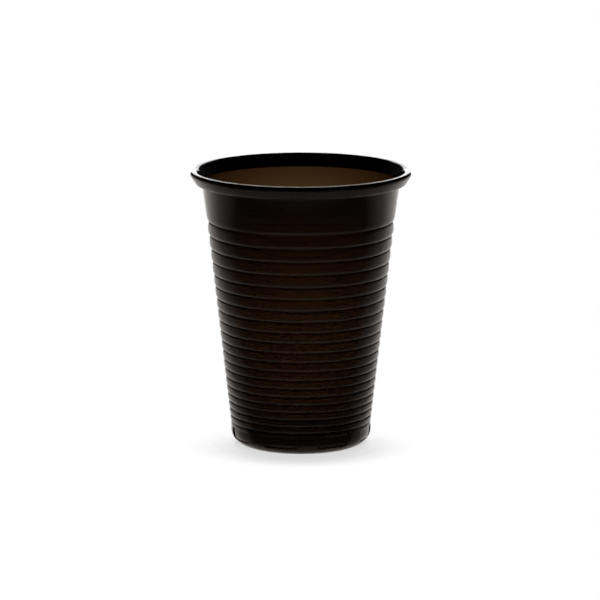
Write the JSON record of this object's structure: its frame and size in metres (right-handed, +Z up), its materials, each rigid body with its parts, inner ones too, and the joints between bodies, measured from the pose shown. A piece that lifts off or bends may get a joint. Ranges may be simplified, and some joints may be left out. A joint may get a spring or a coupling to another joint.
{
  "type": "disposable cup",
  "caption": "Tapered thin-walled disposable drinking cup of clear smoke-brown plastic, with stepped ribs, a rolled rim and a ring of shallow windows around the foot.",
  "frame": {"origin": "middle of the foot, on the surface that the cup stands on", "axes": "+Z up along the cup's axis, -Y towards the picture's camera, +X to that camera's right"},
  "size_m": [0.0702, 0.0702, 0.0882],
  "materials": {
    "smoke_polystyrene": "glossy, clear smoke-brown"
  },
  "bodies": {
    "root": {"cup": "smoke_polystyrene"}
  },
  "joints": []
}
